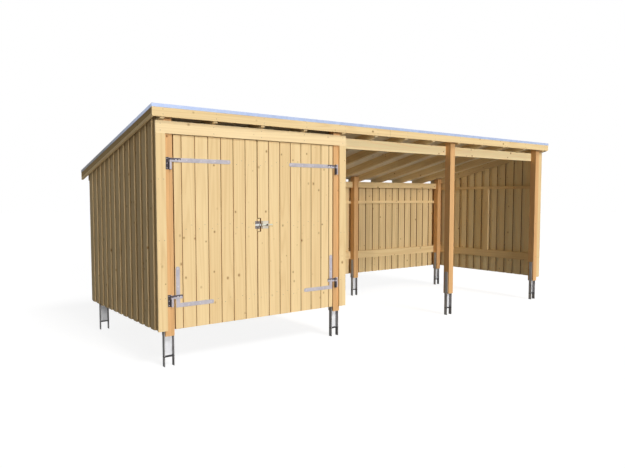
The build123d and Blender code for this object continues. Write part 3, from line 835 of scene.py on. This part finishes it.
fascia_spruce = timber_finish("fascia_spruce", ALONG_X)
dress(["front_fascia"], darker(fascia_spruce, on_butt, (110, 90, 70)), ARRIS)
barge_low, barge_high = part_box("barge_boards")
BARGE_DEPTH, PALE_EDGE = 0.092, 0.013


def shade_above_edge(nodes, xyz):
    """1 on the barge boards, where shade is painted, apart from a narrow strip along their lower
    edge.
    """
    run = calc(nodes, "SUBTRACT", xyz[1], barge_low.y)
    roof_line = calc(nodes, "MULTIPLY_ADD", run, -DROP, barge_high.z)
    depth = calc(nodes, "SUBTRACT", roof_line, xyz[2])
    return calc(nodes, "LESS_THAN", depth, BARGE_DEPTH - PALE_EDGE)


barge_spruce = timber_finish("barge_spruce", DOWN_THE_ROOF)
# Painted shade on the barge boards above their lower edge.
dress(["barge_boards"], darker(barge_spruce, shade_above_edge, (186, 176, 156)), ARRIS)

RAFTER_BESIDE_POST, RAFTERS_A_BAY = 0.0675, 4
SCREW, FASCIA_SCREWS = (0.0042, 0.0012, 8), (0.022, 0.068)
low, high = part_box("front_fascia")
post_lines = [POST_PITCH * (i - 1.5) for i in range(4)]
beside = [post_lines[0] - RAFTER_BESIDE_POST] + [x + RAFTER_BESIDE_POST for x in post_lines[1:]]
rafter_lines = [beside[0]]
for left, right in zip(beside, beside[1:]):
    steps = [(i + 1) / RAFTERS_A_BAY for i in range(RAFTERS_A_BAY)]
    rafter_lines += [left + (right - left) * step for step in steps]
spots = [(x, low.y, low.z + z) for x in rafter_lines for z in FASCIA_SCREWS]
fasteners("fascia_screws", spots, (0, -1, 0), SCREW)


def felt_finish():
    """Bitumen felt with a dark grey mineral facing."""
    made, nodes, shader = material("mineral_felt")
    place = node(nodes, "ShaderNodeTexCoord").outputs["Object"]
    chips = node(nodes, "ShaderNodeTexVoronoi", {"Vector": place, "Scale": 420.0})
    chip = node(nodes, "ShaderNodeSeparateColor", {0: chips.outputs["Color"]}).outputs[0]
    clouds = calc(nodes, "MULTIPLY", noise(nodes, place, 2.2, 3.0), 0.6)
    shade = calc(nodes, "MULTIPLY_ADD", chip, 0.55, clouds, clamp=True)
    colour = blend(nodes, shade, linear(52, 55, 60), linear(112, 115, 120))
    nodes.links.new(colour, shader.inputs["Base Color"])
    bump = node(nodes, "ShaderNodeBump", {"Height": chip, "Strength": 0.5, "Distance": 0.001})
    nodes.links.new(bump.outputs[0], shader.inputs["Normal"])
    shader.inputs["Roughness"].default_value = 0.9
    return made


mineral_felt = felt_finish()
dress(["roofing"], mineral_felt)
LAP_WIDTH, LAP_THICK, ROLL_COVER, FIRST_LAP = 0.08, 0.0016, 0.92, 0.46
CAPPING_FLANGE = 0.062
low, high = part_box("roofing")
laps = board_mesh(
    count=2,
    first=FIRST_LAP,
    pitch=ROLL_COVER,
    width=LAP_WIDTH,
    thickness=LAP_THICK,
    edge_radius=0.0006,
    bottom=low.x + CAPPING_FLANGE,
    top=high.x - CAPPING_FLANGE,
    material=mineral_felt,
)
lap_front = Vector((0, low.y, high.z))
lap_place = axes(down, up_from_roof, (1, 0, 0), lap_front + up_from_roof * LAP_THICK / 2)
piece("felt_laps", joined([laps], [lap_place]), "root", mineral_felt)

LEG_SKIN, DARK_FROM, DARK_TO = 0.004, -1.0, 0.3
FLANGE_SCREW, FIRST_SCREW, SCREW_STEP, SCREWS = 0.045, 0.15, 0.62, 11
low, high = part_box("edge_capping")


def shade_on_rear_of_leg(nodes, xyz):
    """Grows from 0 to 1 along the capping's side legs, towards the rear, as painted shade."""
    from_side = calc(nodes, "SUBTRACT", high.x, calc(nodes, "ABSOLUTE", xyz[0]))
    leg = calc(nodes, "LESS_THAN", from_side, LEG_SKIN)
    rearward = remap(nodes, xyz[1], DARK_FROM, DARK_TO, 0.0, 1.0, "LINEAR")
    return calc(nodes, "MULTIPLY", leg, rearward)


sheet = {"metallic": 0.6, "roughness": 0.35, "gloss": 0.5, "crystal": 30.0, "relief": 0.05}
capping_metal = zinc_finish("capping_metal", (190, 205, 236), (170, 186, 220), **sheet)
# Painted shade: the side legs darken towards the rear.
darker(capping_metal, shade_on_rear_of_leg, (112, 108, 98))
dress(["edge_capping"], capping_metal, ease=0.0005)
screw_y, screw_z = low.y + FLANGE_SCREW, high.z - DROP * FLANGE_SCREW
spots = [(low.x + FIRST_SCREW + SCREW_STEP * i, screw_y, screw_z) for i in range(SCREWS)]
fasteners("capping_screws", spots, tuple(up_from_roof), NAIL)

# ------------------------------------------------------------
# Front boards. A header and two side trims frame the double door, and one board closes the front
# end of the right wall.
# The header's finish is a lighter copy, painted light against the roof overhang's shadow on it.
trim_level = timber_finish("trim_level", ALONG_X, (254, 228, 178), (240, 209, 158))
trim_upright = timber_finish("trim_upright", ALONG_Z, cell=(0.9, 0.0, 0.0))
dress(["door_header"], trim_level, ARRIS)
dress(["door_side_trims", "right_wall_end_board"], trim_upright, ARRIS)
TRIM_WIDTH, TRIM_SPREAD, TRIM_MIDDLE = 0.095, 0.026, 1.22
HEADER_SCREWS, HEADER_SPREAD = 5, 0.032
END_BOARD_SCREWS = (0.016, 0.044)
low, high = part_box("door_header")
middle = (low.z + high.z) / 2
header_step = (high.x - low.x - TRIM_WIDTH) / (HEADER_SCREWS - 1)
lines = [low.x + TRIM_WIDTH / 2 + header_step * i for i in range(HEADER_SCREWS)]
spots = [(x, low.y, middle + d) for x in lines for d in (-HEADER_SPREAD, HEADER_SPREAD)]
trim_heights = (rail_low.z + BOTTOM_RAIL_MIDDLE, TRIM_MIDDLE, rail_high.z - MID_RAIL_HALF)
for x in (low.x + TRIM_WIDTH / 2, high.x - TRIM_WIDTH / 2):
    spots += [(x + d, low.y, z) for z in trim_heights for d in (-TRIM_SPREAD, TRIM_SPREAD)]
fasteners("trim_screws", spots, (0, -1, 0), SCREW)
low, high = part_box("right_wall_end_board")
spots = [(low.x + d, low.y, z) for z in trim_heights for d in END_BOARD_SCREWS]
fasteners("end_board_screws", spots, (0, -1, 0), SCREW)

# ------------------------------------------------------------
# Door leaves. Upright boards with eased edges, tongued into each other, on three ledges with two
# slanting braces behind. A last tongue reaches into the meeting gap, and two stops stand behind.
LEAF_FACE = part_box("left_door_boards")[0].y
V_JOINT, V_DEPTH, LATCH_ABOVE_MIDDLE = 0.0015, 0.0055, 0.051
LEAF_THICK, WIDE, NARROW = 0.018, 0.140, 0.113
TAB, TAB_HALF, CUT = 0.0385, 0.0655, 0.0715
TONGUE, TONGUE_THICK, TONGUE_EASE, TONGUE_SHORT, LIP = 0.016, 0.006, 0.0004, 0.001, 0.004
door_spruce = timber_finish("door_spruce", ALONG_Z, (246, 217, 164), (231, 198, 144))
low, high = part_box("left_door_boards")
latch_height = (low.z + high.z) / 2 + LATCH_ABOVE_MIDDLE
door_foot, door_head = low.z, high.z


def leaf(name, node_name, body, left, rows, joints, seed):
    """A leaf's boards. rows are (start, width, count, foot, head), joints the tongues' middles."""
    # Side tone 1 paints shade into the V-joints and onto the boards' sides.
    common = {"side_tone": 1.0, "material": door_spruce}
    meshes = []
    for number, (start, width, count, foot_z, head_z) in enumerate(rows):
        values = {"count": count, "first": start + V_JOINT / 2, "bottom": foot_z, "top": head_z}
        values.update(pitch=width, width=width - V_JOINT, seed=seed + number, **common)
        meshes.append(board_mesh(thickness=LEAF_THICK, edge_radius=V_DEPTH, **values))
    low_end, high_end = door_foot + TONGUE_SHORT, door_head - TONGUE_SHORT
    tongue = {"thickness": TONGUE_THICK, "edge_radius": TONGUE_EASE, "pitch": TONGUE, **common}
    tongue.update(count=1, width=TONGUE, bottom=low_end, top=high_end)
    meshes += [board_mesh(first=middle - TONGUE / 2, **tongue) for middle in joints]
    place = Matrix.Translation((left, LEAF_FACE + LEAF_THICK / 2, 0))
    mesh = joined(meshes, [place] * len(meshes))
    piece(name, mesh, body, door_spruce, (node_name,))


left_leaf_left = low.x
leaf_width = high.x - TAB - low.x
first_joint = leaf_width - 6 * WIDE
left_joints = [first_joint + WIDE * i for i in range(6)]
rows = (
    (0.0, first_joint, 1, door_foot, door_head),
    (first_joint, WIDE, 6, door_foot, door_head),
    (leaf_width, TAB, 1, latch_height - TAB_HALF, latch_height + TAB_HALF),
)
left_tongues = left_joints + [leaf_width + LIP - TONGUE / 2]
leaf("left_door_leaf", "left_door_boards", "left_door", low.x, rows, left_tongues, 111)
low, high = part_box("right_door_boards")
right_width = high.x - low.x
right_joints = [WIDE * (i + 1) for i in range(6)] + [6 * WIDE + NARROW]
rows = (
    (0.0, WIDE, 1, door_foot, latch_height - CUT),
    (TAB, WIDE - TAB, 1, latch_height - CUT, latch_height + CUT),
    (0.0, WIDE, 1, latch_height + CUT, door_head),
    (WIDE, WIDE, 5, door_foot, door_head),
    (right_joints[5], NARROW, 1, door_foot, door_head),
    (right_joints[6], right_width - right_joints[-1], 1, door_foot, door_head),
)
leaf("right_door_leaf", "right_door_boards", "right_door", low.x, rows, right_joints, 131)

STOP_WIDTH, STOP_DEPTH, STOP_CLEAR, BESIDE_LEAF = 0.020, 0.030, 0.003, 0.010
stop_ends = (left_leaf_left - BESIDE_LEAF, high.x + BESIDE_LEAF - STOP_WIDTH)
stop = {"count": 1, "pitch": STOP_WIDTH, "width": STOP_WIDTH, "thickness": STOP_DEPTH}
stop.update(edge_radius=0.002, bottom=door_foot, top=door_head, seed=5)
stops = [board_mesh(first=x, **stop) for x in stop_ends]
stop_middle = LEAF_FACE + LEAF_THICK + STOP_CLEAR + STOP_DEPTH / 2
stop_place = Matrix.Translation((0, stop_middle, 0))
piece("door_stops", joined(stops, [stop_place] * 2), "root", spruce_upright)
dress(["left_door_ledges", "right_door_ledges"], spruce_level, ARRIS)
dress(["left_door_braces", "right_door_braces"], spruce_upright, ARRIS)

LEDGE_HALF, NARROWEST, SCREW_PAIR = 0.0475, 0.09, ((-0.03, -0.02), (0.03, 0.02))
ledge_low, ledge_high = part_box("left_door_ledges")
ledge_heights = (ledge_low.z + LEDGE_HALF, latch_height, ledge_high.z - LEDGE_HALF)
for side, left, joints, width in (
    ("left", left_leaf_left, left_joints, leaf_width),
    ("right", low.x, right_joints, right_width),
):
    edges = [0.0] + joints + [width]
    middles = [left + (a + b) / 2 for a, b in zip(edges, edges[1:]) if b - a > NARROWEST]
    places = [(x, z) for x in middles for z in ledge_heights]
    spots = [(x + d, LEAF_FACE, z + e) for x, z in places for d, e in SCREW_PAIR]
    fasteners(side + "_door_screws", spots, (0, -1, 0), SCREW, side + "_door")

# ------------------------------------------------------------
# Hinges and latch. Bright zinc-plated straps on coach bolts, with eyes that drop on pins whose
# plates are screwed to the posts. The slide bolt runs in two guides and has a turned knob. Masks
# paint shade on the upper half of the neck plates, on the left gudgeon plates and right barrels,
# and on the keeper and the case's end above and below the bolt's track, and darken the knob's
# stem.
STEEL, STRAP_HALF, BARREL = 0.004, 0.020, 0.013
STRAP_FACE = LEAF_FACE - STEEL
NECK_FACE = STRAP_FACE - STEEL
LOW_HINGE, TOP_HINGE = 0.672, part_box("left_door_hinges")[1].z - STRAP_HALF
NECK_QUARTER, NECK_SKIN, PLATE_FROM, GUDGEON_PLATE = 0.010, 0.0006, 0.012, 0.042
GUIDE_END, BOLT_TRACK = 0.020, 0.011
BOLT_LINE, KNOB_FROM = LEAF_FACE - 0.0134, 0.0072
gudgeon_low, gudgeon_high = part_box("hinge_gudgeons")
GUDGEON_LEFT, GUDGEON_RIGHT = gudgeon_low.x + GUDGEON_PLATE, gudgeon_high.x - GUDGEON_PLATE
case_low, case_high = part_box("latch_case")
keeper_low, keeper_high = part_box("latch_keeper")


def shade_on_neck(nodes, xyz):
    """1 on the upper half of the neck plates, which lie in front of the straps, where shade is
    painted.
    """
    forward = calc(nodes, "LESS_THAN", xyz[1], STRAP_FACE - NECK_SKIN)
    off_top = distance_from(nodes, xyz[2], TOP_HINGE + NECK_QUARTER)
    off_low = distance_from(nodes, xyz[2], LOW_HINGE + NECK_QUARTER)
    near = calc(nodes, "LESS_THAN", calc(nodes, "MINIMUM", off_top, off_low), NECK_QUARTER)
    return calc(nodes, "MULTIPLY", forward, near)


def gudgeon_shade(nodes, xyz):
    """1 where shade is painted: the barrel's shadow on the left hinges' plates, and the right
    hinges' barrels.
    """
    left_plate = calc(nodes, "LESS_THAN", xyz[0], GUDGEON_LEFT - PLATE_FROM)
    right_barrel = between(nodes, xyz[0], GUDGEON_RIGHT - BARREL, GUDGEON_RIGHT + BARREL)
    return calc(nodes, "MAXIMUM", left_plate, right_barrel)


def shade_off_track(nodes, xyz):
    """1 above and below the bolt's track, on the keeper and on the case's end beside it, where
    shade is painted.
    """
    off_bolt = distance_from(nodes, xyz[2], latch_height)
    near_meeting = calc(nodes, "LESS_THAN", xyz[0], case_low.x + GUIDE_END)
    return calc(nodes, "MULTIPLY", near_meeting, calc(nodes, "GREATER_THAN", off_bolt, BOLT_TRACK))


def on_knob(nodes, xyz):
    """1 on the stem of the bolt's knob."""
    return calc(nodes, "LESS_THAN", xyz[1], BOLT_LINE - KNOB_FROM)


STRAP_BRIGHT, STRAP_DULL = (204, 197, 202), (176, 172, 180)
strap_zinc = zinc_finish("strap_zinc", STRAP_BRIGHT, STRAP_DULL)
gudgeon_zinc = zinc_finish("gudgeon_zinc", STRAP_BRIGHT, STRAP_DULL)
bolt_head_zinc = zinc_finish("bolt_head_zinc", (220, 214, 218), (202, 196, 202))
latch = {"roughness": 0.4, "gloss": 0.3}
keeper_zinc = zinc_finish("keeper_zinc", (224, 226, 224), (200, 202, 202), **latch)
case_zinc = zinc_finish("case_zinc", (226, 218, 200), (206, 198, 182), **latch)
rod = {"metallic": 0.2, "roughness": 0.3, "gloss": 0.4, "relief": 0.05}
bolt_zinc = zinc_finish("bolt_zinc", (228, 236, 228), (206, 214, 206), **rod)
turned_steel = {**rod, "metallic": 0.3, "roughness": 0.35, "crystal": 200.0}
knob_steel = zinc_finish("knob_steel", (88, 86, 90), (66, 64, 68), **turned_steel)
# The masks paint shade, apart from the knob's stem, which is darker.
for names, finish, mask, shade, ease in (
    (("left_door_hinges", "right_door_hinges"), strap_zinc, shade_on_neck, (128, 124, 128), 0.0006),
    (("hinge_gudgeons",), gudgeon_zinc, gudgeon_shade, (92, 88, 90), 0.0006),
    (("latch_keeper",), keeper_zinc, shade_off_track, (136, 124, 120), 0.0008),
    (("latch_case",), case_zinc, shade_off_track, (190, 180, 168), 0.0008),
    (("latch_bolt",), bolt_zinc, on_knob, (110, 108, 110), 0.0006),
):
    dress(names, darker(finish, mask, shade), ease)


def turned(profile, sides=16):
    """A closed turned shape. profile is (distance along the axis, radius), from end to end."""
    made = bmesh.new()
    turns = [math.tau * i / sides for i in range(sides)]
    rings = []
    for along, radius in profile:
        ring = [(radius * math.cos(turn), radius * math.sin(turn), along) for turn in turns]
        rings.append([made.verts.new(spot) for spot in ring])
    for first, second in zip(rings, rings[1:]):
        for i in range(sides):
            j = (i + 1) % sides
            made.faces.new((first[i], first[j], second[j], second[i]))
    made.faces.new(list(reversed(rings[0])))
    made.faces.new(rings[-1])
    bmesh.ops.recalc_face_normals(made, faces=made.faces)
    for face in made.faces:
        face.smooth = len(face.verts) == 4
    mesh = bpy.data.meshes.new("turned")
    made.to_mesh(mesh)
    made.free()
    return mesh


BALL, BALL_MIDDLE, KNOB_FROM_CASE = 0.0088, 0.0180, 0.060
BALL_FROM, BALL_SWEEP, BALL_STEPS = -55, 140, 8
knob_profile = [(0.0062, 0.0072), (0.0078, 0.0072), (0.0086, 0.0056)]
for step in range(1, BALL_STEPS + 1):
    angle = math.radians(BALL_FROM + BALL_SWEEP * step / BALL_STEPS)
    knob_profile.append((BALL_MIDDLE + BALL * math.sin(angle), BALL * math.cos(angle)))
knob_mesh = turned(knob_profile)
knob_foot = (case_low.x + KNOB_FROM_CASE, BOLT_LINE, latch_height)
knob_mesh.transform(axes((1, 0, 0), (0, 0, 1), (0, -1, 0), knob_foot))
piece("bolt_knob", knob_mesh, "latch_bolt", knob_steel)

LATCH_FACE, SCREW_INSET, SCREW_RISE = LEAF_FACE - 0.003, 0.008, 0.030
for name, body, low, high in (
    ("latch_case_screws", "right_door", case_low, case_high),
    ("latch_keeper_screws", "left_door", keeper_low, keeper_high),
):
    ends = (low.x + SCREW_INSET, high.x - SCREW_INSET)
    rises = (latch_height - SCREW_RISE, latch_height + SCREW_RISE)
    spots = [(x, LATCH_FACE, z) for x in ends for z in rises]
    fasteners(name, spots, (0, -1, 0), SCREW, body, bolt_head_zinc)

GUDGEON_FACE, GUDGEON_SCREW, GUDGEON_SCREWS = -1.0845, 0.028, (0.012, -0.033, -0.078)
plates = [
    (pivot, hinge)
    for pivot in (GUDGEON_LEFT - GUDGEON_SCREW, GUDGEON_RIGHT + GUDGEON_SCREW)
    for hinge in (LOW_HINGE, TOP_HINGE)
]
spots = [(x, GUDGEON_FACE, z + d) for x, z in plates for d in GUDGEON_SCREWS]
fasteners("gudgeon_screws", spots, (0, -1, 0), SCREW, finish=bolt_head_zinc)

COACH_BOLT, EYE_TO_LEAF = (0.0080, 0.0026, 12), 0.034
TOP_BOLTS, LOW_BOLTS = (0.17, 0.32, 0.47, 0.62), (0.14, 0.26, 0.38)
ARM_MIDDLE, ARM_BOLTS, NECK_BOLTS = 0.030, (0.77, 0.94), (0.060, 0.090)
for side, inward in (("left", 1), ("right", -1)):
    low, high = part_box(side + "_door_hinges")
    eye = (low.x if inward > 0 else high.x) + inward * BARREL
    leaf_edge = eye + inward * EYE_TO_LEAF
    top_z, low_z = high.z - STRAP_HALF, low.z + STRAP_HALF
    spots = [(eye + inward * u, STRAP_FACE, top_z) for u in TOP_BOLTS]
    spots += [(leaf_edge + inward * u, STRAP_FACE, low_z) for u in LOW_BOLTS]
    spots += [(leaf_edge + inward * ARM_MIDDLE, STRAP_FACE, z) for z in ARM_BOLTS]
    spots += [(eye + inward * u, NECK_FACE, z) for u in NECK_BOLTS for z in (top_z, LOW_HINGE)]
    fasteners(side + "_strap_bolts", spots, (0, -1, 0), COACH_BOLT, side + "_door", bolt_head_zinc)
